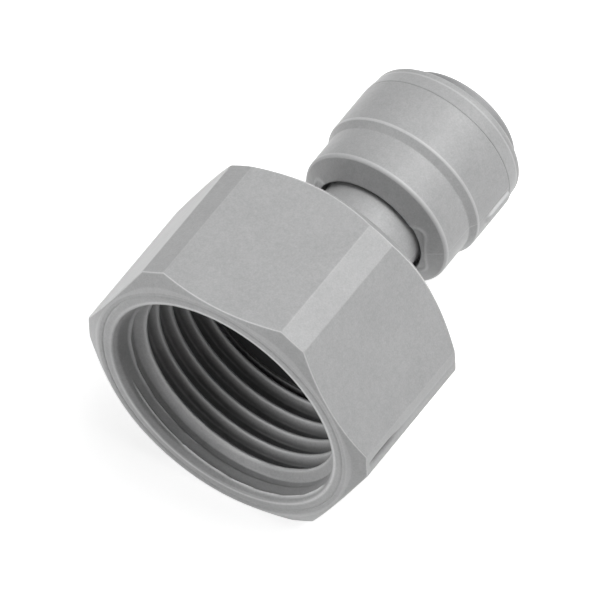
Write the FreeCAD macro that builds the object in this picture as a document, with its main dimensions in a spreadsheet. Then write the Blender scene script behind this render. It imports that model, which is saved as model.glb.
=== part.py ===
import FreeCAD, Part
import Sketcher
import os

# Push-in tube coupling with a female parallel pipe thread.
# The fitting's axis is Y. Every piece is drawn with the thread's mouth at station 0 and the
# collet's face at the far end, and its Placement then puts the fitting on its lower hexagon flat,
# with the origin under the middle of its length.

doc = FreeCAD.newDocument("TubeCoupling")

# Driving dimensions in millimetres and degrees: name, value, what it is.
sizes = [
    ("across_flats", 25.0, "hexagon, flat to flat"),
    ("corner_cut", 0.709, "how far the narrow flats take off the hexagon's corners"),
    ("hex_length", 15.6, "mouth face to rear face"),
    ("face_radius", 12.3, "where the front chamfer starts"),
    ("face_chamfer", 30.0, "slope of the front chamfer, degrees"),
    ("rear_radius", 11.6, "where the rear chamfer starts"),
    ("rear_chamfer", 37.0, "slope of the rear chamfer, degrees"),
    ("thread_bore", 19.0, "half-inch parallel pipe thread, over its crests"),
    ("mouth_flare", 1.35, "how far the mouth opens beyond the thread's crests"),
    ("mouth_lead", 3.6, "length of that opening, which cuts the first crests away"),
    ("washer_hold", 0.05, "how far the flat washer reaches under the thread's crests, which hold it in"),
    ("washer_hole", 10.5, "hole in the washer"),
    ("washer_thickness", 2.6, "washer, along the axis"),
    ("washer_clearance", 0.15, "round the washer in its recess"),
    ("washer_sink", 0.05, "washer's face below the end of the thread"),
    ("floor_thickness", 2.2, "wall between the thread socket and the neck"),
    ("flow_bore", 4.6, "water way between thread and tube"),
    ("neck_diameter", 9.4, "waist between hexagon and barrel"),
    ("neck_length", 6.15, "hexagon's rear face to the barrel"),
    ("neck_foot", 0.4, "bevel where the neck meets the hexagon"),
    ("recess_width", 0.5, "ring cored out round the neck"),
    ("recess_depth", 1.8, "depth of that ring"),
    ("pocket_width", 0.85, "wider pockets of the ring, at both sides"),
    ("pocket_angle", 50.0, "how far a pocket reaches round the neck, degrees"),
    ("shoulder_length", 1.15, "barrel's coned shoulder, along the axis"),
    ("shoulder_bevel", 0.22, "broken edge of the shoulder"),
    ("band_diameter", 14.0, "front band of the barrel"),
    ("band_length", 3.3, "front band, along the axis"),
    ("step_length", 0.75, "coned step up to the main band"),
    ("barrel_diameter", 14.88, "main band of the barrel"),
    ("barrel_length", 4.65, "main band, along the axis"),
    ("tube_diameter", 6.35, "quarter-inch tube"),
    ("tube_clearance", 0.025, "round the tube in its pocket"),
    ("tube_pocket", 7.9, "pocket that guides the tube's end, along the axis"),
    ("pocket_lead", 0.3, "countersink at the pocket's mouth"),
    ("oring_section", 1.78, "thickness of the tube seal"),
    ("oring_squeeze", 0.2, "how far the tube seal reaches into the tube's wall"),
    ("oring_clearance", 0.02, "round the tube seal in its seat"),
    ("gland_length", 2.1, "seat of the tube seal, along the axis"),
    ("chamber_length", 2.1, "room in front of the collet, along the axis"),
    ("socket_depth", 3.0, "how deep the end cap's skirt goes in"),
    ("skirt_wall", 1.0, "wall of the end cap's skirt"),
    ("skirt_gap", 0.05, "skirt's end to the bottom of its socket"),
    ("cap_length", 2.0, "end cap beyond the seam"),
    ("cap_taper_length", 1.35, "coned part of the cap's rim"),
    ("cap_taper", 0.2, "how far that cone closes in"),
    ("cap_bevel", 0.5, "outer edge of the cap"),
    ("dish_depth", 0.4, "dish that the collet's flange sinks into"),
    ("dish_clearance", 0.25, "round the flange in the dish"),
    ("dish_slope", 0.35, "sloping wall of the dish"),
    ("cap_land", 1.4, "straight part of the cap's bore"),
    ("cap_cone", 2.25, "wedge that closes the collet, along the axis"),
    ("collet_clearance", 0.075, "round the tube in the collet"),
    ("sleeve_wall", 1.1, "wall of the collet's sleeve"),
    ("sleeve_clearance", 0.12, "round the sleeve in the cap"),
    ("head_rise", 0.6, "how far the collet's head stands out from the sleeve"),
    ("head_clearance", 0.4, "round the head in the chamber"),
    ("wedge_gap", 0.05, "collet's cone to the cap's cone"),
    ("head_length", 1.5, "straight part of the head"),
    ("nose_length", 0.75, "sloping front of the head"),
    ("nose_drop", 0.75, "how far that slope closes in"),
    ("flange_rim", 1.25, "how far the flange stands out from the sleeve"),
    ("flange_thickness", 0.85, "flange that a finger presses"),
    ("flange_bevel", 0.15, "edges of the flange"),
    ("release_travel", 1.0, "how far the collet is pressed in to let the tube go"),
    ("travel_reserve", 0.05, "left between flange and cap when it is pressed in"),
    ("entry_lead", 0.35, "countersink where the tube goes in"),
    ("finger_count", 6, "fingers of the collet, each with its tooth"),
    ("finger_relief", 0.2, "how far the fingers stand back from the bore that guides the tube"),
    ("slot_width", 0.9, "slot between two fingers"),
    ("slot_length", 3.5, "slot, from the head's front"),
    ("tooth_angle", 24.0, "how far a tooth reaches round the tube, degrees"),
    ("tooth_bite", 0.045, "how far a tooth's edge reaches into the tube's wall"),
    ("tooth_depth", 1.17, "tooth, from its edge to its root"),
    ("tooth_thickness", 0.25, "tooth at its root, along the axis"),
    ("tooth_bevel", 0.35, "ground part of the tooth's edge"),
    ("tooth_lean", 0.5, "how far the edge leans to the tube's end, for each mm of depth"),
    ("tooth_offset", 0.9, "tooth's root behind the head's front corner"),
]

sheet = doc.addObject("Spreadsheet::Sheet", "Sizes")
for row, (alias, value, meaning) in enumerate(sizes, start=1):
    sheet.set("A%d" % row, meaning)
    sheet.set("B%d" % row, str(value))
    sheet.setAlias("B%d" % row, alias)

# Worked-out radii and stations along the axis. Each one reads the sheet or a value above it.
derived = [
    ("apothem", "Sizes.across_flats / 2"),
    ("flat_half", "Derived.apothem / sqrt(3) - 2 * Sizes.corner_cut"),
    ("outside", "Derived.apothem * 2 / sqrt(3)"),
    ("face_drop", "(Derived.outside - Sizes.face_radius) * tan(Sizes.face_chamfer * 1 deg)"),
    ("rear_drop", "(Derived.outside - Sizes.rear_radius) * tan(Sizes.rear_chamfer * 1 deg)"),
    ("thread_radius", "Sizes.thread_bore / 2"),
    ("mouth_radius", "Derived.thread_radius + Sizes.mouth_flare"),
    ("washer_radius", "Derived.thread_radius + Sizes.washer_hold"),
    ("washer_room", "Derived.washer_radius + Sizes.washer_clearance"),
    ("socket_bottom", "Sizes.hex_length - Sizes.floor_thickness"),
    ("thread_end", "Derived.socket_bottom - Sizes.washer_thickness - Sizes.washer_sink"),
    ("flow_radius", "Sizes.flow_bore / 2"),
    ("neck_radius", "Sizes.neck_diameter / 2"),
    ("recess_radius", "Derived.neck_radius + Sizes.recess_width"),
    ("pocket_radius", "Derived.neck_radius + Sizes.pocket_width"),
    ("band_radius", "Sizes.band_diameter / 2"),
    ("barrel_radius", "Sizes.barrel_diameter / 2"),
    ("shoulder", "Sizes.hex_length + Sizes.neck_length"),
    ("recess_floor", "Derived.shoulder + Sizes.recess_depth"),
    ("band_start", "Derived.shoulder + Sizes.shoulder_length"),
    ("band_end", "Derived.band_start + Sizes.band_length"),
    ("barrel_start", "Derived.band_end + Sizes.step_length"),
    ("barrel_end", "Derived.barrel_start + Sizes.barrel_length"),
    ("tube_radius", "Sizes.tube_diameter / 2"),
    ("guide_radius", "Derived.tube_radius + Sizes.tube_clearance"),
    ("oring_inside", "Derived.tube_radius - Sizes.oring_squeeze"),
    ("oring_outside", "Derived.oring_inside + Sizes.oring_section"),
    ("gland_radius", "Derived.oring_outside + Sizes.oring_clearance"),
    ("collet_bore", "Derived.tube_radius + Sizes.collet_clearance"),
    ("sleeve_radius", "Derived.collet_bore + Sizes.sleeve_wall"),
    ("head_radius", "Derived.sleeve_radius + Sizes.head_rise"),
    ("chamber_radius", "Derived.head_radius + Sizes.head_clearance"),
    ("skirt_radius", "Derived.chamber_radius + Sizes.skirt_wall"),
    ("socket_floor", "Derived.barrel_end - Sizes.socket_depth"),
    ("gland_end", "Derived.socket_floor - Sizes.chamber_length"),
    ("gland_start", "Derived.gland_end - Sizes.gland_length"),
    ("tube_stop", "Derived.gland_start - Sizes.tube_pocket"),
    ("oring_station", "Derived.gland_start + Sizes.oring_clearance + Sizes.oring_section / 2"),
    ("cap_face", "Derived.barrel_end + Sizes.cap_length"),
    ("cap_seat", "Derived.cap_face - Sizes.dish_depth"),
    ("cap_bore", "Derived.sleeve_radius + Sizes.sleeve_clearance"),
    ("cone_start", "Derived.cap_seat - Sizes.cap_land"),
    ("cone_end", "Derived.cone_start - Sizes.cap_cone"),
    ("cone_slope", "(Derived.chamber_radius - Derived.cap_bore) / Sizes.cap_cone"),
    ("cap_taper_end", "Derived.barrel_end + Sizes.cap_taper_length"),
    ("cap_rim", "Derived.barrel_radius - Sizes.cap_taper"),
    ("flange_radius", "Derived.sleeve_radius + Sizes.flange_rim"),
    ("dish_radius", "Derived.flange_radius + Sizes.dish_clearance"),
    ("flange_under", "Derived.cap_seat + Sizes.release_travel + Sizes.travel_reserve"),
    ("collet_face", "Derived.flange_under + Sizes.flange_thickness"),
    ("head_back", "Derived.cone_start - (Derived.head_radius + Sizes.wedge_gap"
     " - Derived.cap_bore) / Derived.cone_slope"),
    ("sleeve_end", "Derived.cone_start - (Derived.sleeve_radius + Sizes.wedge_gap"
     " - Derived.cap_bore) / Derived.cone_slope"),
    ("head_front", "Derived.head_back - Sizes.head_length"),
    ("collet_nose", "Derived.head_front - Sizes.nose_length"),
    ("nose_radius", "Derived.head_radius - Sizes.nose_drop"),
    ("slot_end", "Derived.collet_nose + Sizes.slot_length"),
    ("tooth_edge", "Derived.tube_radius - Sizes.tooth_bite"),
    ("tooth_root", "Derived.tooth_edge + Sizes.tooth_depth"),
    ("tooth_foot", "Derived.head_front + Sizes.tooth_offset"),
    ("middle", "Derived.collet_face / 2"),
]

values = doc.addObject("App::VarSet", "Derived")
doc.recompute()
for name, formula in derived:
    values.addProperty("App::PropertyFloat", name, "Sizes")
    values.setExpression(name, formula)
    doc.recompute()


def number(formula):
    """The present value of a formula on the sheet's names."""
    result = values.evalExpression(formula)
    return float(getattr(result, "Value", result))


def origin_item(body, role):
    """One of the body's own origin planes or axes."""
    return next(item for item in body.Origin.OriginFeatures if item.Role == role)


def new_body(label, turn=0.0):
    """An empty body, laid on the hexagon's lower flat and turned about the fitting's axis."""
    body = doc.addObject("PartDesign::Body", label)
    body.Label = label
    place(body, FreeCAD.Rotation(FreeCAD.Vector(0, 1, 0), turn))
    return body


def place(piece, rotation, station="0"):
    """Puts a piece's own origin on the fitting's axis, at a station given as a formula."""
    piece.Placement = FreeCAD.Placement(FreeCAD.Vector(), rotation)
    piece.setExpression("Placement.Base.y", station + " - Derived.middle")
    piece.setExpression("Placement.Base.z", "Derived.apothem")


def pin(sketch, corner, kind, formula, value, axis):
    """Ties one coordinate of a corner to its formula, or to the sketch's axis where that is 0."""
    if formula == "0":
        sketch.addConstraint(Sketcher.Constraint("PointOnObject", corner, 1, axis))
        return
    index = sketch.addConstraint(Sketcher.Constraint(kind, -1, 1, corner, 1, value))
    sketch.setExpression("Constraints[%d]" % index, formula)


def outline(body, name, corners, role="XY_Plane"):
    """A closed outline of straight lines, whose corners are pairs of formulas. In the XY plane
    they are a radius and a station along the fitting's axis."""
    sketch = body.newObject("Sketcher::SketchObject", name)
    sketch.AttachmentSupport = [(origin_item(body, role), "")]
    sketch.MapMode = "FlatFace"
    points = [FreeCAD.Vector(number(across), number(along), 0) for across, along in corners]
    following = points[1:] + points[:1]
    for start, end in zip(points, following):
        sketch.addGeometry(Part.LineSegment(start, end), False)
    for index in range(len(points)):
        after = (index + 1) % len(points)
        sketch.addConstraint(Sketcher.Constraint("Coincident", index, 2, after, 1))
    for index, (across, along) in enumerate(corners):
        pin(sketch, index, "DistanceX", across, points[index].x, -2)
        pin(sketch, index, "DistanceY", along, points[index].y, -1)
    doc.recompute()
    return sketch


def turned(body, kind, name, corners, angle=None):
    """Turns an outline about the fitting's axis: a Revolution adds it, a Groove takes it away.
    With an angle it reaches that far, half to each side of the +X direction."""
    sketch = outline(body, name + "Outline", corners)
    feature = body.newObject("PartDesign::" + kind, name)
    feature.Profile = sketch
    feature.ReferenceAxis = (sketch, ["V_Axis"])
    feature.Angle = 360
    if angle:
        feature.Midplane = True
        feature.Angle = number(angle)
        feature.setExpression("Angle", angle)
    doc.recompute()
    return feature


def ring_edges(feature, radius, station):
    """Names of the circular edges of a given radius at a given station."""
    names = []
    for index, edge in enumerate(feature.Shape.Edges, start=1):
        curve = edge.Curve
        if isinstance(curve, Part.Circle) and abs(curve.Radius - number(radius)) < 0.001:
            if abs(curve.Center.y - number(station)) < 0.001:
                names.append("Edge%d" % index)
    return names


def bevelled(body, name, rings, size):
    """Bevels the ring edges, given as pairs of a radius and a station, to one size."""
    base = body.Tip
    names = [edge for radius, station in rings for edge in ring_edges(base, radius, station)]
    bevel = body.newObject("PartDesign::Chamfer", name)
    bevel.Base = (base, names)
    bevel.Size = number(size)
    bevel.setExpression("Size", size)
    doc.recompute()
    return bevel


def repeated(body, name, feature, count):
    """Repeats a feature evenly round the fitting's axis."""
    pattern = body.newObject("PartDesign::PolarPattern", name)
    pattern.Originals = [feature]
    pattern.Axis = (origin_item(body, "Y_Axis"), [""])
    pattern.Angle = 360
    pattern.Occurrences = int(number(count))
    pattern.setExpression("Occurrences", count)
    body.Tip = pattern
    doc.recompute()
    return pattern


# Coupling body: hexagon, neck and barrel moulded in one piece
def make_coupling_body():
    body = new_body("coupling_body")
    # Six wide flats, each with a narrow flat after it where the hexagon's corner would be
    corners = []
    for flat in range(6):
        for side in ("-", "+"):
            sine = "sin(%d deg)" % (60 * flat)
            cosine = "cos(%d deg)" % (60 * flat)
            corners.append(("Derived.apothem * %s %s Derived.flat_half * %s" % (sine, side, cosine),
                            "Derived.apothem * %s - (0 %s Derived.flat_half) * %s" % (cosine, side, sine)))
    hexagon = body.newObject("PartDesign::Pad", "Hexagon")
    hexagon.Profile = outline(body, "HexagonOutline", corners, "XZ_Plane")
    hexagon.Reversed = True
    hexagon.setExpression("Length", "Sizes.hex_length")
    doc.recompute()
    turned(body, "Groove", "FrontChamfer", [
        ("Sizes.face_radius", "0"),
        ("Derived.outside", "0"),
        ("Derived.outside", "Derived.face_drop")])
    turned(body, "Groove", "RearChamfer", [
        ("Sizes.rear_radius", "Sizes.hex_length"),
        ("Derived.outside", "Sizes.hex_length - Derived.rear_drop"),
        ("Derived.outside", "Sizes.hex_length")])
    # Neck, ring cored out round it, coned shoulder, front band, step and main band
    turned(body, "Revolution", "Barrel", [
        ("0", "Sizes.hex_length"),
        ("Derived.neck_radius", "Sizes.hex_length"),
        ("Derived.neck_radius", "Derived.recess_floor"),
        ("Derived.recess_radius", "Derived.recess_floor"),
        ("Derived.recess_radius", "Derived.shoulder"),
        ("Derived.band_radius", "Derived.band_start"),
        ("Derived.band_radius", "Derived.band_end"),
        ("Derived.barrel_radius", "Derived.barrel_start"),
        ("Derived.barrel_radius", "Derived.barrel_end"),
        ("0", "Derived.barrel_end")])
    bevelled(body, "NeckFoot", [("Derived.neck_radius", "Sizes.hex_length")], "Sizes.neck_foot")
    bevelled(body, "ShoulderBevel", [("Derived.band_radius", "Derived.band_start")], "Sizes.shoulder_bevel")
    pocket = turned(body, "Groove", "RecessPocket", [
        ("(Derived.neck_radius + Derived.recess_radius) / 2", "Derived.shoulder"),
        ("Derived.pocket_radius", "Derived.shoulder"),
        ("Derived.pocket_radius", "Derived.recess_floor"),
        ("(Derived.neck_radius + Derived.recess_radius) / 2", "Derived.recess_floor")],
        angle="Sizes.pocket_angle")
    repeated(body, "RecessPockets", pocket, "2")
    # All that is hollow, from the thread's mouth through to the end cap's socket
    turned(body, "Groove", "Bore", [
        ("0", "0"),
        ("Derived.mouth_radius", "0"),
        ("Derived.thread_radius", "Sizes.mouth_lead"),
        ("Derived.thread_radius", "Derived.thread_end"),
        ("Derived.washer_room", "Derived.thread_end"),
        ("Derived.washer_room", "Derived.socket_bottom"),
        ("Derived.flow_radius", "Derived.socket_bottom"),
        ("Derived.flow_radius", "Derived.tube_stop"),
        ("Derived.guide_radius", "Derived.tube_stop"),
        ("Derived.guide_radius", "Derived.gland_start - Sizes.pocket_lead"),
        ("Derived.guide_radius + Sizes.pocket_lead", "Derived.gland_start"),
        ("Derived.gland_radius", "Derived.gland_start"),
        ("Derived.gland_radius", "Derived.gland_end"),
        ("Derived.chamber_radius", "Derived.gland_end"),
        ("Derived.chamber_radius", "Derived.socket_floor"),
        ("Derived.skirt_radius", "Derived.socket_floor"),
        ("Derived.skirt_radius", "Derived.barrel_end"),
        ("0", "Derived.barrel_end")])
    return body


# End cap: skirt in the barrel's socket, wedge for the collet's head, dished rim outside
def make_end_cap():
    body = new_body("end_cap")
    turned(body, "Revolution", "Cap", [
        ("Derived.chamber_radius", "Derived.socket_floor + Sizes.skirt_gap"),
        ("Derived.skirt_radius", "Derived.socket_floor + Sizes.skirt_gap"),
        ("Derived.skirt_radius", "Derived.barrel_end"),
        ("Derived.barrel_radius", "Derived.barrel_end"),
        ("Derived.cap_rim", "Derived.cap_taper_end"),
        ("Derived.cap_rim", "Derived.cap_face"),
        ("Derived.dish_radius + Sizes.dish_slope", "Derived.cap_face"),
        ("Derived.dish_radius", "Derived.cap_seat"),
        ("Derived.cap_bore", "Derived.cap_seat"),
        ("Derived.cap_bore", "Derived.cone_start"),
        ("Derived.chamber_radius", "Derived.cone_end")])
    bevelled(body, "CapBevel", [("Derived.cap_rim", "Derived.cap_face")], "Sizes.cap_bevel")
    return body


# Section of a grip tooth, ground to an edge that leans towards the tube's end
tooth_section = [
    ("Derived.tooth_root", "Derived.tooth_foot"),
    ("Derived.tooth_root", "Derived.tooth_foot + Sizes.tooth_thickness"),
    ("Derived.tooth_edge + Sizes.tooth_bevel",
     "Derived.tooth_foot + Sizes.tooth_thickness"
     " - Sizes.tooth_lean * (Sizes.tooth_depth - Sizes.tooth_bevel)"),
    ("Derived.tooth_edge", "Derived.tooth_foot - Sizes.tooth_lean * Sizes.tooth_depth")]


# Collet: flange, sleeve and slotted head whose fingers carry the teeth
def make_collet():
    body = new_body("collet")
    turned(body, "Revolution", "Sleeve", [
        ("Derived.collet_bore + Sizes.finger_relief", "Derived.collet_nose"),
        ("Derived.nose_radius", "Derived.collet_nose"),
        ("Derived.head_radius", "Derived.head_front"),
        ("Derived.head_radius", "Derived.head_back"),
        ("Derived.sleeve_radius", "Derived.sleeve_end"),
        ("Derived.sleeve_radius", "Derived.flange_under"),
        ("Derived.flange_radius", "Derived.flange_under"),
        ("Derived.flange_radius", "Derived.collet_face"),
        ("Derived.collet_bore + Sizes.entry_lead", "Derived.collet_face"),
        ("Derived.collet_bore", "Derived.collet_face - Sizes.entry_lead"),
        ("Derived.collet_bore", "Derived.slot_end"),
        ("Derived.collet_bore + Sizes.finger_relief", "Derived.slot_end")])
    bevelled(body, "FlangeBevel", [
        ("Derived.flange_radius", "Derived.collet_face"),
        ("Derived.flange_radius", "Derived.flange_under")], "Sizes.flange_bevel")
    slot = body.newObject("PartDesign::Pocket", "Slot")
    slot.Profile = outline(body, "SlotOutline", [
        ("Derived.collet_nose", "Derived.tube_radius"),
        ("Derived.slot_end", "Derived.tube_radius"),
        ("Derived.slot_end", "Derived.chamber_radius"),
        ("Derived.collet_nose", "Derived.chamber_radius")], "YZ_Plane")
    slot.Midplane = True
    slot.setExpression("Length", "Sizes.slot_width")
    doc.recompute()
    repeated(body, "Slots", slot, "Sizes.finger_count")
    seat = turned(body, "Groove", "ToothSeat", tooth_section, angle="Sizes.tooth_angle")
    repeated(body, "ToothSeats", seat, "Sizes.finger_count")
    return body


# Grip teeth: one steel blade moulded into each finger
def make_grip_tooth(index):
    body = new_body("grip_tooth_%d" % (index + 1), turn=360.0 * index / number("Sizes.finger_count"))
    turned(body, "Revolution", "Blade", tooth_section, angle="Sizes.tooth_angle")
    return body


# Tube seal: round-section ring in the barrel's seat
def make_tube_seal():
    ring = doc.addObject("Part::Torus", "tube_oring")
    ring.Label = "tube_oring"
    ring.setExpression("Radius2", "Sizes.oring_section / 2")
    ring.setExpression("Radius1", "Derived.oring_inside + Sizes.oring_section / 2")
    place(ring, FreeCAD.Rotation(FreeCAD.Vector(1, 0, 0), -90), "Derived.oring_station")
    return ring


# Thread seal: flat washer in the plain recess under the thread
def make_thread_seal():
    body = new_body("thread_washer")
    turned(body, "Revolution", "Washer", [
        ("Sizes.washer_hole / 2", "Derived.socket_bottom - Sizes.washer_thickness"),
        ("Derived.washer_radius", "Derived.socket_bottom - Sizes.washer_thickness"),
        ("Derived.washer_radius", "Derived.socket_bottom"),
        ("Sizes.washer_hole / 2", "Derived.socket_bottom")])
    return body


pieces = [make_coupling_body(), make_end_cap(), make_collet(), make_tube_seal(), make_thread_seal()]
pieces += [make_grip_tooth(index) for index in range(int(number("Sizes.finger_count")))]
doc.recompute()

for item in doc.Objects:
    if "Invalid" in item.State or "Error" in item.State:
        raise RuntimeError("%s failed: %s" % (item.Name, item.State))
for piece in pieces:
    if piece.Shape.isNull() or not piece.Shape.isValid() or len(piece.Shape.Solids) != 1:
        raise RuntimeError("%s is not one sound solid" % piece.Label)

os.makedirs("parts", exist_ok=True)
for piece in pieces:
    piece.Shape.exportStep("parts/%s.step" % piece.Label)
    print("%-16s %9.2f mm3" % (piece.Label, piece.Shape.Volume))
print("length %.2f mm" % number("Derived.collet_face"))
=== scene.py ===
import math

import bmesh
import bpy
import numpy as np
from mathutils import Euler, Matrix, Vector


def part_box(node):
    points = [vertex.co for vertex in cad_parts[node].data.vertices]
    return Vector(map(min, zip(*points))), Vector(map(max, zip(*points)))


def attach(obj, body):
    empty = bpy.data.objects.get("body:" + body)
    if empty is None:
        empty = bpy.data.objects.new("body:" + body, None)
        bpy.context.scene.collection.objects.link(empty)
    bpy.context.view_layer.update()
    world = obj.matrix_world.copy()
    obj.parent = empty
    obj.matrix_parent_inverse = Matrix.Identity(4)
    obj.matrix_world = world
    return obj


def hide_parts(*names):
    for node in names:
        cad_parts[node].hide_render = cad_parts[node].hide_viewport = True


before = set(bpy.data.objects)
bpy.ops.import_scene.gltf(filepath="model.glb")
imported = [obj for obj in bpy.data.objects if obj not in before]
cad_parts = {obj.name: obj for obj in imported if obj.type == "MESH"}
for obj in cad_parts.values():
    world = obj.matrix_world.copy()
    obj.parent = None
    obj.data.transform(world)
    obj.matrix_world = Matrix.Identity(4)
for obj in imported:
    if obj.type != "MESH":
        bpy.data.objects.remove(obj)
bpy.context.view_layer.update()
print("frame loaded:", len(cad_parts), "nodes")

# Radii and stations are in millimetres, and a station counts from the thread's mouth along the fitting.
# Turns are in degrees about the fitting's axis, from straight up towards +X.
mm = 0.001
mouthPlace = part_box("coupling_body")[0].y / mm
capLow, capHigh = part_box("end_cap")
axisHeight = (capLow.z + capHigh.z) / 2 / mm


# Shader wiring

class Wire:  # one value in a material; sums, differences and products on it add Math nodes
    def __init__(self, tree, socket=None):
        self.tree = tree
        self.socket = socket

    def node(self, kind, settings, inputs, output=0):  # settings first, then the sockets' values or links
        made = self.tree.nodes.new(kind)
        for name, value in settings.items():
            setattr(made, name, value)
        for name, value in inputs.items():
            if isinstance(value, Wire):
                self.tree.links.new(value.socket, made.inputs[name])
            else:
                made.inputs[name].default_value = value
        return Wire(self.tree, made.outputs[output]) if made.outputs else None

    def maths(self, operation, first, second=0.0):
        return self.node("ShaderNodeMath", {"operation": operation}, {0: first, 1: second})

    def __add__(self, other):
        return self.maths("ADD", self, other)

    def __radd__(self, other):
        return self.maths("ADD", other, self)

    def __sub__(self, other):
        return self.maths("SUBTRACT", self, other)

    def __rsub__(self, other):
        return self.maths("SUBTRACT", other, self)

    def __mul__(self, other):
        return self.maths("MULTIPLY", self, other)

    def __rmul__(self, other):
        return self.maths("MULTIPLY", other, self)


def newMaterial(name):
    material = bpy.data.materials.new(name)
    material.use_nodes = True
    material.node_tree.nodes.clear()
    return material, Wire(material.node_tree)


def grey(value):
    return (value, value, value, 1)


def noise(wire, place, pattern):  # from 0 to 1, with the pattern's size in millimetres and its detail
    size, detail = pattern
    return wire.node("ShaderNodeTexNoise", {}, {"Vector": place, "Scale": 1 / (size * mm), "Detail": detail})


def blended(wire, share, first, second):  # the colour first (1 - share) + second share
    return wire.node("ShaderNodeMix", {"data_type": "RGBA"}, {0: share, 6: first, 7: second}, 2)


def bumped(wire, height):  # the normal that a height in metres gives
    return wire.node("ShaderNodeBump", {}, {"Height": height, "Distance": 1.0, "Strength": 1.0})


def surfaced(material, wire, inputs):  # the material's one shader, from its sockets' values or links
    shader = wire.node("ShaderNodeBsdfPrincipled", {}, inputs)
    wire.node("ShaderNodeOutputMaterial", {}, {"Surface": shader})
    return material


# Finishes

plasticLook = {
    "colour": (0.6, 0.602, 0.604),
    "colourDeep": (0.27, 0.272, 0.275),
    # colours of the painted highlight on edges and of the painted shade in gaps and grooves
    "colourHighlight": (0.9, 0.902, 0.905),
    "colourShade": (0.06, 0.06, 0.062),
    "clouds": (3.2, 3.0),  # size in millimetres and detail of each noise
    "mottle": (0.5, 2.0),
    "specks": (0.14, 2.0),
    "grain": (0.13, 3.0),
    "flow": (1.5, 1.0),
    "shares": (0.25, 0.25, 0.5),  # of clouds, mottle and specks in the colour
    "markBreak": 0.3,
    "roughness": 0.35,
    "roughnessSpread": 0.12,
    "markGloss": 0.12,
    "grainHeight": 0.006,
    "flowHeight": 0.024,
    "refraction": 1.48,
}


def plasticFinish(name, look):
    # Acetal: cloudy, mottled grey, satin, with a fine grain on faint flow waves. The piece's point attribute
    # paints highlights on its edges, paler and smoother, up to 1, broken up by the mottle, and below 0 paints
    # shade in fine gaps and grooves down to -1.
    material, wire = newMaterial(name)
    place = wire.node("ShaderNodeTexCoord", {}, {}, "Object")
    paintedLight = wire.node("ShaderNodeAttribute", {"attribute_name": "paintedLight"}, {}, "Fac")
    clouds, mottle, specks, grain, flow = (
        noise(wire, place, look[name]) for name in ("clouds", "mottle", "specks", "grain", "flow"))
    cloudShare, mottleShare, speckShare = look["shares"]
    shade = clouds * cloudShare + mottle * mottleShare + specks * speckShare
    plain = blended(wire, shade, (*look["colourDeep"], 1), (*look["colour"], 1))
    withShade = blended(wire, 0 - paintedLight, plain, (*look["colourShade"], 1))
    lightMark = paintedLight * (1 - look["markBreak"] * mottle)
    colour = blended(wire, lightMark, withShade, (*look["colourHighlight"], 1))
    roughness = look["roughness"] + (specks - 0.5) * look["roughnessSpread"] - lightMark * look["markGloss"]
    height = grain * look["grainHeight"] * mm + flow * look["flowHeight"] * mm
    return surfaced(material, wire, {"Base Color": colour, "Roughness": roughness,
                                     "Normal": bumped(wire, height), "IOR": look["refraction"]})


# A darker copy of the body's plastic: painted shade on the collet, which sits deep in the cap
colletShadedLook = {
    **plasticLook,
    "colour": (0.42, 0.422, 0.425),
    "colourDeep": (0.235, 0.237, 0.24),
    "colourHighlight": (0.5, 0.502, 0.505),
}

rubberLook = {
    "colour": (0.018, 0.018, 0.019),
    "roughness": 0.62,
    "roughnessSpread": 0.2,
    "grain": (0.1, 2.0),
    "grainHeight": 0.004,
}


def rubberFinish(name, look):
    # Nitrile rubber: near black and matt, with a fine moulded grain
    material, wire = newMaterial(name)
    place = wire.node("ShaderNodeTexCoord", {}, {}, "Object")
    grain = noise(wire, place, look["grain"])
    roughness = look["roughness"] + (grain - 0.5) * look["roughnessSpread"]
    return surfaced(material, wire, {"Base Color": (*look["colour"], 1), "Roughness": roughness,
                                     "Normal": bumped(wire, grain * look["grainHeight"] * mm)})


steelLook = {
    "colour": (0.56, 0.565, 0.575),
    "roughness": 0.3,
    "roughnessSpread": 0.15,
    "scratch": (0.05, 2.0),
    "scratchHeight": 0.001,
    "scratchStretch": 0.08,
}


def steelFinish(name, look):
    # Spring steel: bright, with the scratches of grinding drawn out along the fitting's axis
    material, wire = newMaterial(name)
    place = wire.node("ShaderNodeTexCoord", {}, {}, "Object")
    drawn = wire.node("ShaderNodeMapping", {}, {"Vector": place, "Scale": (1, look["scratchStretch"], 1)})
    scratch = noise(wire, drawn, look["scratch"])
    roughness = look["roughness"] + (scratch - 0.5) * look["roughnessSpread"]
    return surfaced(material, wire, {"Base Color": (*look["colour"], 1), "Metallic": 1.0,
                                     "Roughness": roughness,
                                     "Normal": bumped(wire, scratch * look["scratchHeight"] * mm)})


bodyPlastic = plasticFinish("bodyPlastic", plasticLook)
colletShadedPlastic = plasticFinish("colletShadedPlastic", colletShadedLook)
sealRubber = rubberFinish("sealRubber", rubberLook)
toothSteel = steelFinish("toothSteel", steelLook)
print("finishes made")


# Shapes

sharpAngle = 50  # degrees between two faces from which their edge stays sharp
joinDistance = 0.0002  # millimetres up to which two points are one
leastMark = 0.01  # share of a ridge, slit or rim's height under which it leaves the painted light as it is


def smoothMin(first, second, width):
    # The lesser value, rounded where the two lie within a width k of each other:
    # b + (a - b) h - k h (1 - h), with h = 1/2 + (b - a) / 2k kept from 0 to 1
    share = np.clip(0.5 + 0.5 * (second - first) / width, 0, 1)
    return second + (first - second) * share - width * share * (1 - share)


def smoothMax(first, second, width):  # the greater value, rounded in the same way
    return -smoothMin(-first, -second, width)


def bell(distance, width):  # exp(-(distance / width) squared)
    return np.exp(-(distance / width) ** 2)


def ease(value):  # 3 v^2 - 2 v^3, from 0 to 1
    part = np.clip(value, 0, 1)
    return part * part * (3 - 2 * part)


def turnFrom(turn, middle):  # signed angle from the middle, between -180 and 180
    return (turn - middle + 180) % 360 - 180


def plateau(inside, edge):  # 1 where the depth inside an outline is over half an edge's width, 0 outside it
    return ease(inside / edge + 0.5)


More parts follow.
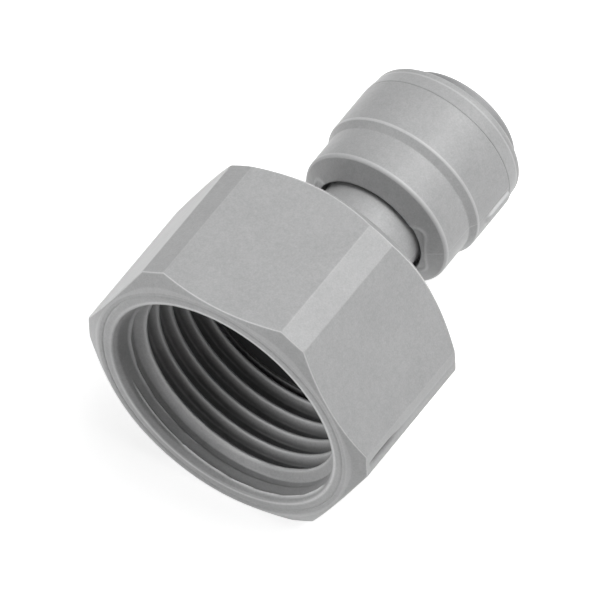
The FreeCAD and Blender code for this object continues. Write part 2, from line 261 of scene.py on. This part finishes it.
def roundedLoop(outline, lead=0.08, most=0.3):
    # A closed outline through named corners (radius, station, rounding, points in it, rows after it, painted
    # light).
    # A corner p becomes the curve (1 - t)^2 a + 2 t (1 - t) p + t^2 b between the points a and b that lie
    # a rounding's length before and after it. A rounding of more than two points gets one more row on each
    # side, a lead's length off, or at most this share of the straight between it and the next rounding.
    # Painted light, from -1 for painted shade to 1 for a painted highlight, is a corner's own on its curve and
    # nothing elsewhere.
    table = np.array(list(outline.values()), float)
    corner, cut = table[:, :2], table[:, 2]
    side = np.roll(corner, -1, axis=0) - corner
    length = np.linalg.norm(side, axis=1)
    ahead = side / length[:, None]
    back = -np.roll(ahead, 1, axis=0)
    close = np.minimum(lead, most * (length - cut - np.roll(cut, -1)))
    starts, ends = corner + back * cut[:, None], corner + ahead * cut[:, None]
    rows, owner, paintedLight = [], [], []
    for index, (points, after) in enumerate(table[:, 3:5].astype(int)):
        t = np.linspace(0, 1, points)[:, None]
        curve = (1 - t) ** 2 * starts[index] + 2 * t * (1 - t) * corner[index] + t ** 2 * ends[index]
        lightMark = np.full(points, table[index, 5])
        if points > 2:
            curve = np.vstack([starts[index] + back[index] * close[index - 1], curve,
                               ends[index] + ahead[index] * close[index]])
            lightMark = np.concatenate([[0], lightMark, [0]])
        share = np.linspace(0, 1, after + 2)[1:-1, None]
        following = (index + 1) % len(table)
        fill = curve[-1] * (1 - share) + (starts[following] + back[following] * close[index]) * share
        rows += [curve, fill]
        paintedLight += [lightMark, np.zeros(after)]
        owner += [index] * (len(curve) + after)
    return np.vstack(rows), np.concatenate(paintedLight), np.array(owner), list(outline)


def ringPiece(name, turn, radius, station, paintedLight, node, body, material):
    # Closed surface with the point (r sin a, s, r cos a) for each turn a and each row of the outline,
    # which has a radius r and a station s there. Rows close round the outline, columns round the axis.
    # Painted light runs from -1, painted shade, to 1, a painted highlight. Points that coincide are joined, and
    # what has no area goes with them.
    turn, radius, station, paintedLight = np.broadcast_arrays(turn, radius, station, paintedLight)
    angle = np.radians(turn)
    points = np.stack([radius * np.sin(angle), station + mouthPlace, radius * np.cos(angle) + axisHeight], -1)
    count = np.arange(radius.size).reshape(radius.shape)
    beside, ahead = np.roll(count, -1, axis=0), np.roll(count, -1, axis=1)
    faces = np.stack([count, beside, np.roll(beside, -1, axis=1), ahead], -1)
    mesh = bpy.data.meshes.new(name)
    mesh.vertices.add(radius.size)
    mesh.vertices.foreach_set("co", (points * mm).ravel())
    mesh.loops.add(faces.size)
    mesh.loops.foreach_set("vertex_index", faces.ravel())
    mesh.polygons.add(radius.size)
    mesh.polygons.foreach_set("loop_start", np.arange(0, faces.size, 4))
    mesh.polygons.foreach_set("use_smooth", np.ones(radius.size, bool))
    mesh.attributes.new("paintedLight", "FLOAT", "POINT").data.foreach_set("value", np.clip(paintedLight, -1, 1).ravel())
    mesh.update(calc_edges=True)
    merged = bmesh.new()
    merged.from_mesh(mesh)
    bmesh.ops.remove_doubles(merged, verts=merged.verts, dist=joinDistance * mm)
    merged.to_mesh(mesh)
    merged.free()
    mesh.set_sharp_from_angle(angle=math.radians(sharpAngle))
    mesh.materials.append(material)
    piece = bpy.data.objects.new(name, mesh)
    bpy.context.scene.collection.objects.link(piece)
    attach(piece, body)
    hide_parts(node)
    print(name, len(mesh.polygons), "faces")


# Coupling body

bodyShape = {
    "apothem": 12.5,
    "cornerCut": 0.709,
    "edgeWidth": 0.06,
    # painted highlights along the hexagon's edges and, with the rim values below, round its cones' rims
    "edgeHighlight": 0.15,
    "rimWidth": 0.14,
    "rimLine": 0.07,
    "rimHighlight": 0.85,
    "rimBunching": 1.7,
    "turnCount": 144,
    "turnGap": 0.5,
    "edgeSpread": (0.16, 0.4, 0.8),
    "partingTurns": (90, 270),
    "partingSpread": (0.1, 0.2, 0.35, 0.6),
    "partingHeight": 0.03,
    "partingWidth": 0.05,
    # painted highlight along the parting ridges
    "partingHighlight": 0.3,
    "faceLine": 11.75,
    "faceLineDepth": 0.1,
    "faceLineWidth": 0.06,
    # painted shade in the face's pressed ring
    "faceLineShade": 0.25,
    # painted highlight on the mouth's rim, dimmer on one side
    "mouthRim": 11.05,
    "mouthRimWidth": 0.12,
    "mouthRimHighlight": 0.72,
    "mouthRimDim": 275,
    "mouthRimDimWidth": 45,
    "mouthRimDimShare": 0.8,
}

# Mismatch of the mould halves beside the parting line on one corner of the hexagon, with painted shade in its
# gap
slitShape = {
    "turn": 90.4,
    "spread": (0.3, 0.6, 1.0, 1.5),
    "width": 0.2,
    "depth": 0.6,
    "faint": 0.03,
    "paintedShade": 1.0,
    "station": 3.1,
    "reach": 1.35,
}

# Vestige of the gate beside the parting line, a low pad with rounded corners and a painted highlight round its
# edge
gateShape = {
    "turn": 97.6,
    "spread": (-4.6, -4.0, -3.4, 3.4, 4.0, 4.6),
    "station": 29.85,
    "halfLength": 1.65,
    "halfWidth": 0.52,
    "height": 0.2,
    "corner": 0.35,
    "edge": 0.14,
    "paintedLight": 0.6,
}

# Pocket that the slides of the mould leave beside the neck, across the fitting, with a painted highlight along
# its rim
pocketShape = {
    "halfWidth": 5.36,
    "halfHeight": 2.8,
    "corner": 1.3,
    "depth": 0.12,
    "edge": 0.16,
    "paintedLight": 0.6,
    "highlightWidth": 0.128,
}

# Female parallel pipe thread of half an inch, with painted highlights along its crests and painted shade in its
# grooves
threadShape = {
    "pitch": 1.814,
    "firstCrest": 1.886,
    "meanRadius": 10.23,
    "flankSlope": 1.921,
    "crestRadius": 9.55,
    "rootRadius": 10.5,
    "crestRound": 0.22,
    "rootRound": 0.15,
    "leadRound": 0.05,
    "mouthEdge": 10.9,
    "startWidth": 0.3,
    "startTurn": 25.0,
    "runOut": 0.5,
    "end": 11.3,
    "crestHighlight": 0.7,
    "crestHighlightWidth": 0.09,
    "crestHighlightReach": 0.05,
    "rootShade": 0.6,
    "shadeRadius": 9.75,
    "shadeDepth": 0.8,
    "shadeStart": 2.7,
}

# Flash round the lead, which winds with the thread up to a jog and goes on fainter and nearly square, with a
# painted highlight along it
flashShape = {
    "station": 0.705,
    "rise": 0.005,
    "jogTurn": 207,
    "jog": 0.06,
    "riseAfter": 0.003,
    "first": 112,
    "last": 246,
    "fade": 8.0,
    "height": 0.17,
    "width": 0.07,
    "faint": 0.4,
    "paintedLight": 1.0,
}

# Each corner's radius, station, rounding, points in it, rows after it and painted light: a painted highlight
# above 0, painted shade below
bodyOutline = {
    "mouth": (10.85, 0.0, 0.12, 6, 12, 0.0),
    "face": (12.3, 0.0, 0.12, 4, 28, 0.2),
    "hexFront": (14.43, 1.23, 0.1, 2, 16, 0.0),
    "hexRear": (14.43, 13.47, 0.1, 2, 22, 0.0),
    "rear": (11.6, 15.6, 0.15, 5, 2, 0.3),
    "neckFoot": (4.7, 15.6, 0.4, 5, 5, 0.0),
    "recessNeck": (4.7, 23.55, 0.1, 2, 0, 0.0),
    "recessFloor": (5.06, 23.55, 0.1, 2, 2, 0.0),
    "recessLip": (5.06, 21.68, 0.18, 6, 16, 0.0),
    "shoulder": (7.0, 22.9, 0.2, 5, 3, 0.45),
    "stepFoot": (7.0, 26.2, 0.05, 3, 1, -0.3),
    "stepTop": (7.44, 26.95, 0.09, 5, 30, 0.5),
    "seam": (7.44, 31.6, 0.06, 4, 0, -0.15),
    "socketMouth": (6.35, 31.6, 0.05, 2, 0, 0.0),
    "socketFloor": (6.35, 28.6, 0.05, 2, 0, 0.0),
    "chamberMouth": (5.35, 28.6, 0.05, 2, 0, 0.0),
    "chamberFloor": (5.35, 26.5, 0.1, 2, 0, 0.0),
    "glandMouth": (4.775, 26.5, 0.1, 2, 0, 0.0),
    "glandFloor": (4.775, 24.4, 0.1, 2, 0, 0.0),
    "guideMouth": (3.5, 24.4, 0.05, 2, 0, 0.0),
    "guide": (3.2, 24.1, 0.05, 2, 0, 0.0),
    "tubeStop": (3.2, 16.5, 0.1, 2, 0, 0.0),
    "flowRear": (2.3, 16.5, 0.1, 2, 0, 0.0),
    "flowFront": (2.3, 13.4, 0.15, 4, 0, 0.2),
    "washerFloor": (9.7, 13.4, 0.15, 2, 0, 0.0),
    "washerRoof": (9.7, 10.78, 0.03, 2, 0, 0.0),
    "threadEnd": (9.5, 10.7, 0.03, 2, 92, 0.0),
    "leadEnd": (9.5, 2.45, 0.05, 2, 10, 0.0),
    "leadLand": (10.36, 1.6, 0.1, 3, 4, 0.0),
    "leadFlash": (10.46, 1.1, 0.1, 3, 24, 0.0),
    "leadCone": (10.6, 0.42, 0.12, 4, 8, 0.0),
}


def hexRadius(turn, shape):
    # Distance from the axis to the rounded hexagon: the smooth least of d / cos(a - a0) over its flats,
    # six wide ones and six narrow ones that cut its corners
    corner = (shape["apothem"] / math.sqrt(3) - 2 * shape["cornerCut"]) / shape["apothem"]
    edge = math.degrees(math.atan(corner))
    narrow = shape["apothem"] / math.cos(math.radians(edge)) * math.cos(math.radians(30 - edge))
    wide = shape["apothem"] / np.cos(np.radians((turn + 30) % 60 - 30))
    cutOff = narrow / np.cos(np.radians(turn % 60 - 30))
    return smoothMin(wide, cutOff, shape["edgeWidth"]), edge


def bodyTurns(shape, slit, gate):
    # Evenly spaced columns, with more of them at the hexagon's edges, the parting lines, slit and gate
    edge = hexRadius(np.zeros(1), shape)[1]
    spread = np.array([0, *shape["edgeSpread"]])
    spread = np.unique([-spread, spread])
    edges = np.array([60 * flat + side * edge for flat in range(6) for side in (-1, 1)])
    parting = np.array([0, *shape["partingSpread"]])
    parting = np.unique([-parting, parting])
    beside = np.array([0, *slit["spread"]])
    beside = np.unique([-beside, beside])
    special = np.concatenate([(edges[:, None] + spread).ravel(),
                              (np.array(shape["partingTurns"])[:, None] + parting).ravel(),
                              slit["turn"] + beside, gate["turn"] + np.array(gate["spread"])]) % 360
    even = np.arange(shape["turnCount"]) * 360 / shape["turnCount"]
    gap = np.abs(turnFrom(even[:, None], special[None, :])).min(axis=1)
    return np.sort(np.concatenate([even[gap > shape["turnGap"]], special]))


def threadRadius(turn, station, shape):
    # Whitworth thread: with t the distance along the axis to the nearest crest, the radius is
    # mean + (t - pitch / 4) slope, rounded into the crest and the root. A painted highlight lies along the
    # crest's corners.
    pitch = shape["pitch"]
    phase = (station - shape["firstCrest"]) / pitch - turn / 360
    away = np.abs(phase - np.round(phase)) * pitch
    flank = shape["meanRadius"] + (away - pitch / 4) * shape["flankSlope"]
    radius = smoothMax(flank, shape["crestRadius"], shape["crestRound"])
    corner = pitch / 4 + (shape["crestRadius"] - shape["meanRadius"]) / shape["flankSlope"]
    paintedLight = shape["crestHighlight"] * bell(away - corner, shape["crestHighlightWidth"])
    return smoothMin(radius, shape["rootRadius"], shape["rootRound"]), paintedLight


def threadShare(turn, station, shape):
    # The share of the thread's depth that is cut, a product of eased distances: it starts behind the
    # truncated crest nearest the mouth, where the first groove also grows over a few degrees, and it runs
    # out at its far end
    behind = station - shape["firstCrest"] - (turn / 360 - 1) * shape["pitch"]
    start = ease(behind / shape["startWidth"] + 0.5)
    grown = np.where(behind < shape["pitch"], ease(turn / shape["startTurn"]), 1)
    return start * grown * ease((shape["end"] - station) / shape["runOut"])


def flashHeight(turn, station, shape):
    # A fine ridge exp(-((s - m) / width)^2) with its middle m at the station s0 + (a - a0) rise. It steps
    # back and thins after the turn a0 of its jog, and fades at both ends.
    late = turn > shape["jogTurn"]
    rise = np.where(late, shape["riseAfter"], shape["rise"])
    middle = shape["station"] + (turn - shape["jogTurn"]) * rise + shape["jog"] * late
    span = ease((turn - shape["first"]) / shape["fade"]) * ease((shape["last"] - turn) / shape["fade"])
    return span * bell(station - middle, shape["width"]) * np.where(late, shape["faint"], 1)


def makeBody(shape, slit, gate, pocket, thread, flash, outline):
    # The outline stands at every turn as a grid of radius, station and painted light, which the steps below
    # carve
    loop, cornerLight, owner, names = roundedLoop(outline)
    turn = bodyTurns(shape, slit, gate)
    angle = turn[:, None]
    radius = np.repeat(loop[None, :, 0], len(turn), axis=0)
    station = np.repeat(loop[None, :, 1], len(turn), axis=0)
    paintedLight = np.repeat(cornerLight[None, :], len(turn), axis=0)

    def rows(first, last):  # from one named corner up to, but not with, another
        return (owner >= names.index(first)) & (owner < names.index(last))

    # Along each column the rows of a cone bunch up at its rim, where it meets the hexagon: with v from -1
    # to 1 along the cone and m the rim's share of it, a row moves to m + (1 - m) v^p, or m - m |v|^p before it
    flats, edge = hexRadius(angle, shape)
    for first, last in (("face", "hexFront"), ("hexRear", "rear")):
        cone = rows(first, last)
        start, end = (np.array(outline[name][:2]) for name in (first, last))
        run = (loop[:, 0] - start[0]) / (end[0] - start[0])
        rim = (flats - start[0]) / (end[0] - start[0])
        away = np.abs(2 * run - 1) ** shape["rimBunching"]
        moved = np.where(run > 0.5, rim + (1 - rim) * away, rim * (1 - away))
        share = np.where(cone & (run > 0) & (run < 1), moved - run, 0)
        radius = radius + share * (end[0] - start[0])
        station = station + share * (end[1] - start[1])

    # The outline is clipped to the hexagon, with a painted highlight along its edges and round the rims of its
    # cones
    hexagon = rows("mouth", "neckFoot") & (loop[:, 0] > shape["faceLine"])
    clipped = smoothMin(radius, flats, shape["rimWidth"])
    edgeAway = np.abs(np.abs((angle + 30) % 60 - 30) - edge)
    along = shape["edgeHighlight"] * bell(np.radians(edgeAway) * radius, shape["edgeWidth"]) * (radius > flats)
    across = shape["rimHighlight"] * bell(radius - flats, shape["rimLine"]) * ~rows("hexFront", "hexRear")
    paintedLight = np.where(hexagon, np.maximum(paintedLight, np.maximum(along, across)), paintedLight)
    radius = np.where(hexagon, clipped, radius)

    # The mouth's face has a fine ring pressed in it, with painted shade in it, and a painted highlight on its
    # rim, fainter on one side
    front = rows("mouth", "face")
    line = shape["faceLineDepth"] * bell(radius - shape["faceLine"], shape["faceLineWidth"])
    station = station + front * line
    paintedLight = paintedLight - front * shape["faceLineShade"] * line / shape["faceLineDepth"]
    dimmed = bell(turnFrom(angle, shape["mouthRimDim"]), shape["mouthRimDimWidth"])
    rim = shape["mouthRimHighlight"] * bell(radius - shape["mouthRim"], shape["mouthRimWidth"])
    rim = rim * (1 - shape["mouthRimDimShare"] * dimmed)
    paintedLight = np.where(rim > leastMark, np.maximum(paintedLight, front * rim), paintedLight)

    # The pocket's depth is a plateau over the smooth least of half width - |x| and half height - |z|,
    # and a painted highlight follows the foot of its wall
    x, z = radius * np.sin(np.radians(angle)), radius * np.cos(np.radians(angle))
    inside = smoothMin(pocket["halfWidth"] - np.abs(x), pocket["halfHeight"] - np.abs(z), pocket["corner"])
    cone = rows("recessLip", "shoulder")
    station = station + cone * pocket["depth"] * plateau(inside, pocket["edge"])
    foot = bell(inside + 0.5 * pocket["edge"], pocket["highlightWidth"])
    paintedLight = np.maximum(paintedLight, cone * pocket["paintedLight"] * foot)

    # On the barrel a ridge h exp(-(arc / width)^2) runs along each parting line, and the gate's pad beside one,
    # both with painted highlights
    away = np.abs(turnFrom(angle[:, :, None], np.array(shape["partingTurns"]))).min(axis=2)
    barrel = rows("neckFoot", "seam") & ~rows("recessNeck", "recessLip")
    ridge = bell(np.radians(away) * radius, shape["partingWidth"])
    arc = np.radians(turnFrom(angle, gate["turn"])) * radius
    inside = smoothMin(gate["halfLength"] - np.abs(station - gate["station"]),
                       gate["halfWidth"] - np.abs(arc), gate["corner"])
    pad = rows("stepTop", "seam") * plateau(inside, gate["edge"])
    paintedLight = np.maximum(paintedLight, rows("stepTop", "seam") * gate["paintedLight"] * bell(inside, gate["edge"]))
    paintedLight = np.maximum(paintedLight, barrel * shape["partingHighlight"] * ridge)
    radius = radius + barrel * shape["partingHeight"] * ridge + gate["height"] * pad

    # The slit runs along the hexagon as a faint line, exp(-(arc / width)^2) across it, and gapes over its
    # reach, where painted shade fills it from half its depth on
    arc = np.radians(turnFrom(angle, slit["turn"])) * radius
    deep = rows("hexFront", "neckFoot") * bell(arc, slit["width"])
    gaping = bell(station - slit["station"], slit["reach"])
    radius = radius - deep * (slit["faint"] + (slit["depth"] - slit["faint"]) * gaping)
    paintedLight = np.where(deep > leastMark, -slit["paintedShade"] * ease(2 * deep) * gaping, paintedLight)

    # The thread is cut where it is wider than the lead at the mouth. Its grooves get painted shade, more of it
    # the deeper they are and the further into the bore, its crests a painted highlight, and the flash stands on
    # the lead with a painted highlight.
    threaded = (owner >= names.index("threadEnd")) | (front & (loop[:, 0] < thread["mouthEdge"]))
    cutter, crestHighlight = threadRadius(angle, station, thread)
    cut = smoothMax(cutter, radius, thread["leadRound"])
    fade = threadShare(angle, station, thread)
    ridge = flashHeight(angle, station, flash)
    paintedShade = ease((cutter - thread["shadeRadius"]) / thread["shadeDepth"]) * ease(station - thread["shadeStart"])
    threadLight = crestHighlight * fade * (cutter > radius - thread["crestHighlightReach"]) - thread["rootShade"] * paintedShade
    threadLight = np.where(ridge > leastMark, flash["paintedLight"] * ridge, threadLight)
    paintedLight = np.where(threaded, threadLight, paintedLight)
    radius = np.where(threaded, radius + (cut - radius) * fade - flash["height"] * ridge, radius)
    ringPiece("couplingBody", angle, radius, station, paintedLight,
              "coupling_body", "fitting", bodyPlastic)


makeBody(bodyShape, slitShape, gateShape, pocketShape, threadShape, flashShape, bodyOutline)


# End cap, collet, washer and tube seal

capTurnCount = 200
# The taper's end, the dish's edge and the bore's mouth get painted highlights, the seam painted shade
capOutline = {
    "skirtInner": (5.35, 28.65, 0.1, 2, 0, 0.0),
    "skirtOuter": (6.35, 28.65, 0.1, 2, 0, 0.0),
    "skirtTop": (6.35, 31.6, 0.02, 2, 0, 0.0),
    "seam": (7.44, 31.6, 0.06, 4, 0, -0.15),
    "taperEnd": (7.24, 32.95, 0.05, 4, 0, 0.3),
    "rim": (7.24, 33.6, 0.42, 9, 2, 0.0),
    "dishEdge": (6.2, 33.6, 0.12, 5, 0, 0.6),
    "dishFloor": (5.85, 33.2, 0.12, 5, 0, 0.0),
    "boreMouth": (4.47, 33.2, 0.12, 5, 0, 0.4),
    "coneMouth": (4.47, 31.8, 0.1, 4, 0, 0.0),
}

colletShape = {
    "slots": 6,
    "slotWidth": 0.9,
    "slotEnd": 31.69,
    "endMargin": 0.001,
    "turnCount": 180,
    "clear": 9.0,  # degrees on each side of a slot without evenly spaced columns
    "wholeOrder": 8.0,  # degrees that put a slot's own columns in order, the whole ones outside
    "shortOrder": 7.5,
    "between": (-2.4, 0.0, 2.4),
    "leanFrom": 31.69,
    "leanTo": 34.25,
    "lean": (0.1, -0.06),
}

# The nose, head, flange and entry get painted highlights
colletOutline = {
    "noseOuter": (4.2, 28.19, 0.1, 4, 0, 0.4),
    "headFront": (4.95, 28.94, 0.12, 4, 4, 0.4),
    "headBack": (4.95, 30.44, 0.12, 4, 2, 0.4),
    "sleeveFoot": (4.35, 31.98, 0.1, 4, 0, 0.0),
    "sleeveTop": (4.35, 34.25, 0.08, 4, 0, 0.0),
    "flangeUnder": (5.6, 34.25, 0.13, 5, 0, 0.4),
    "flangeTop": (5.6, 35.1, 0.2, 6, 2, 0.5),
    "entry": (3.6, 35.1, 0.12, 5, 0, 0.5),
    "bore": (3.25, 34.75, 0.12, 5, 4, 0.0),
    "slotEnd": (3.25, 31.69, 0.02, 2, 0, 0.0),
    "fingerFoot": (3.45, 31.69, 0.02, 2, 4, 0.0),
    "noseInner": (3.45, 28.19, 0.1, 4, 0, 0.3),
}

washerTurnCount = 160
washerOutline = {
    "holeFront": (5.25, 10.8, 0.2, 5, 0, 0.0),
    "rimFront": (9.55, 10.8, 0.25, 5, 0, 0.0),
    "rimBack": (9.55, 13.4, 0.25, 5, 0, 0.0),
    "holeBack": (5.25, 13.4, 0.2, 5, 0, 0.0),
}

sealShape = {
    "ringRadius": 3.865,
    "section": 0.89,
    "station": 25.31,
    "flash": 0.03,
    "flashWidth": 0.12,
    "turnCount": 120,
    "pointsAround": 36,
}


def evenTurns(count):  # a full turn in equal steps, one to a row
    return np.arange(count)[:, None] * 360 / count


def turnedPiece(name, outline, turnCount, node, body, material):  # the same outline at every turn
    loop, paintedLight = roundedLoop(outline)[:2]
    ringPiece(name, evenTurns(turnCount), loop[:, 0], loop[:, 1], paintedLight, node, body, material)


def makeCollet(shape, outline):
    # Across each slot the columns are cut short: what lies before the slot's end becomes a straight line
    # across the wall there. The columns beside a slot stand at its middle +- asin(half width / radius),
    # once cut short and once whole, so the faces between the two are the slot's flat sides.
    loop, paintedLight = roundedLoop(outline)[:2]
    before = loop[:, 1] < shape["slotEnd"] - shape["endMargin"]
    order = np.roll(np.arange(len(loop)), -int(np.argmax(~before)))
    loop, before, paintedLight = loop[order], before[order], paintedLight[order]
    share = np.clip(np.cumsum(before) / (before.sum() + 1), 0, 1)
    first, last = np.argmax(before), len(before) - 1 - np.argmax(before[::-1])
    ends = loop[first - 1], loop[(last + 1) % len(loop)]
    across = ends[0] * (1 - share[:, None]) + ends[1] * share[:, None]
    across[:, 1] = np.maximum(across[:, 1], shape["slotEnd"])
    short = np.where(before[:, None], across, loop)

    middles = np.arange(shape["slots"]) * 360 / shape["slots"]
    even = evenTurns(shape["turnCount"])[:, 0]
    away = turnFrom(even[:, None], middles[None, :])
    kept = even[np.abs(away).min(axis=1) > shape["clear"]]
    columns = [(turn, np.full(len(loop), turn), loop) for turn in kept]
    for middle in middles:
        for side in (-1, 1):
            for place, line in ((shape["wholeOrder"], loop), (shape["shortOrder"], short)):
                slant = np.degrees(np.arcsin(0.5 * shape["slotWidth"] / line[:, 0]))
                columns.append(((middle + side * place) % 360, middle + side * slant, line))
        for step in shape["between"]:
            columns.append(((middle + step) % 360, np.full(len(loop), middle + step), short))
    columns.sort(key=lambda column: column[0])
    turn = np.array([column[1] for column in columns])
    lines = np.array([column[2] for column in columns])
    # It hangs a little to one side in the cap: what lies beyond the slots leans over by a share
    # (s - from) / (to - from), up to the flange
    angle = np.radians(turn)
    share = np.clip((lines[:, :, 1] - shape["leanFrom"]) / (shape["leanTo"] - shape["leanFrom"]), 0, 1)
    x = lines[:, :, 0] * np.sin(angle) + shape["lean"][0] * share
    z = lines[:, :, 0] * np.cos(angle) + shape["lean"][1] * share
    ringPiece("pressCollet", np.degrees(np.arctan2(x, z)), np.hypot(x, z), lines[:, :, 1], paintedLight,
              "collet", "collet", colletShadedPlastic)


def makeTubeSeal(shape):
    # Round-section ring: radius R + q cos b, station s + q sin b, with q the section's radius at the flash
    # line round its inside and outside, and f (1 - exp(-(sin b / width)^2)) less away from it
    around = np.radians(evenTurns(shape["pointsAround"])[:, 0])
    away = np.abs(np.sin(around)) / shape["flashWidth"]
    section = shape["section"] + shape["flash"] * (bell(away, 1.0) - 1)
    ringPiece("tubeSeal", evenTurns(shape["turnCount"]), shape["ringRadius"] + section * np.cos(around),
              shape["station"] + section * np.sin(around), 0.0,
              "tube_oring", "fitting", sealRubber)


turnedPiece("endCap", capOutline, capTurnCount, "end_cap", "fitting", bodyPlastic)
makeCollet(colletShape, colletOutline)
turnedPiece("threadWasher", washerOutline, washerTurnCount,
            "thread_washer", "fitting", sealRubber)
makeTubeSeal(sealShape)

for name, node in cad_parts.items():
    if name.startswith("grip_tooth"):
        node.data.materials.clear()
        node.data.materials.append(toothSteel)
print("small pieces made")


# Studio

def outward(azimuth, elevation):
    # Direction from the fitting (sin a cos e, -cos a cos e, sin e), with the angles in degrees
    a, e = math.radians(azimuth), math.radians(elevation)
    return Vector((math.sin(a) * math.cos(e), -math.cos(a) * math.cos(e), math.sin(e)))


def makeFloor(shade):
    # White to the camera where it is lit, with the object's soft shadow; plain pale grey to the object.
    # From below it is clear, so that the underside can be looked at.
    bpy.ops.mesh.primitive_plane_add(size=shade["floorSize"], location=(0, 0, shade["floorLevel"] * mm))
    floor = bpy.context.object
    floor.name = "floor"
    material, wire = newMaterial("floorPaper")
    camera = wire.node("ShaderNodeLightPath", {}, {}, "Is Camera Ray")
    glossy = wire.node("ShaderNodeLightPath", {}, {}, "Is Glossy Ray")
    behind = wire.node("ShaderNodeNewGeometry", {}, {}, "Backfacing")
    paper = wire.node("ShaderNodeBsdfDiffuse", {}, {"Color": grey(shade["paper"])})
    white = wire.node("ShaderNodeEmission", {}, {"Color": grey(1), "Strength": shade["glow"]})
    both = wire.node("ShaderNodeAddShader", {}, {0: paper, 1: white})
    seen = wire.node("ShaderNodeMixShader", {}, {0: camera.maths("MAXIMUM", camera, glossy), 1: paper, 2: both})
    clear = wire.node("ShaderNodeBsdfTransparent", {}, {})
    shader = wire.node("ShaderNodeMixShader", {}, {0: behind, 1: seen, 2: clear})
    wire.node("ShaderNodeOutputMaterial", {}, {"Surface": shader})
    floor.data.materials.append(material)


def makeWorld(shade):
    # White to the camera and in reflections, and nearly dark to what the lamps light
    world = bpy.data.worlds.new("studioAir")
    world.use_nodes = True
    world.node_tree.nodes.clear()
    wire = Wire(world.node_tree)
    camera = wire.node("ShaderNodeLightPath", {}, {}, "Is Camera Ray")
    glossy = wire.node("ShaderNodeLightPath", {}, {}, "Is Glossy Ray")
    seen = camera.maths("MAXIMUM", camera, glossy)
    strength = seen * (1 - shade["air"]) + shade["air"]
    light = wire.node("ShaderNodeBackground", {}, {"Color": grey(1), "Strength": strength})
    wire.node("ShaderNodeOutputWorld", {}, {"Surface": light})
    bpy.context.scene.world = world


def makeLamp(name, lamp):
    # A square soft box that faces the fitting, at an azimuth and elevation as seen from it, in degrees
    light = bpy.data.lights.new(name, "AREA")
    light.size = lamp["size"]
    light.energy = lamp["power"]
    box = bpy.data.objects.new(name, light)
    bpy.context.scene.collection.objects.link(box)
    out = outward(lamp["azimuth"], lamp["elevation"])
    box.location = Vector((0, 0, axisHeight * mm)) + out * lamp["distance"]
    box.rotation_euler = out.to_track_quat("Z", "Y").to_euler()
    box.visible_camera = False


studioShade = {"paper": 0.75, "glow": 0.7, "air": 0.02, "floorSize": 40, "floorLevel": -0.02}
studioLamps = {
    "highLamp": {"azimuth": 120, "elevation": 66, "distance": 0.6, "size": 0.5, "power": 1.75},
    "sideLamp": {"azimuth": 123, "elevation": 42, "distance": 0.6, "size": 0.5, "power": 1.42},
    "backLamp": {"azimuth": 180, "elevation": 66, "distance": 0.6, "size": 0.5, "power": 0.65},
    "leftLamp": {"azimuth": 240, "elevation": 66, "distance": 0.6, "size": 0.5, "power": 0.12},
    "frontLamp": {"azimuth": 330, "elevation": 18, "distance": 0.6, "size": 0.5, "power": 1.7},
}

# The lens is so long that the picture is almost a parallel projection
cameraView = {
    "azimuth": 35.937,
    "elevation": 51.62,
    "roll": -3.0,
    "distance": 1850.5,
    "aim": (-1.436, -3.932, 10.646),
    "lens": 1349.3,
    "sensor": 36,
    "clipEnd": 50,
}


def makeCamera(view):
    # It stands at the aim plus a distance along the outward direction, faces back, and rolls about its lens
    camera = bpy.data.cameras.new("photoCamera")
    camera.lens = view["lens"]
    camera.sensor_width = view["sensor"]
    camera.clip_end = view["clipEnd"]
    holder = bpy.data.objects.new("photoCamera", camera)
    bpy.context.scene.collection.objects.link(holder)
    out = outward(view["azimuth"], view["elevation"])
    holder.location = (Vector(view["aim"]) + out * view["distance"]) * mm
    turn = out.to_track_quat("Z", "Y") @ Euler((0, 0, math.radians(view["roll"]))).to_quaternion()
    holder.rotation_euler = turn.to_euler()
    bpy.context.scene.camera = holder


makeFloor(studioShade)
makeWorld(studioShade)
for name, lamp in studioLamps.items():
    makeLamp(name, lamp)
makeCamera(cameraView)
bpy.context.scene.view_settings.view_transform = "Standard"
print("studio made")
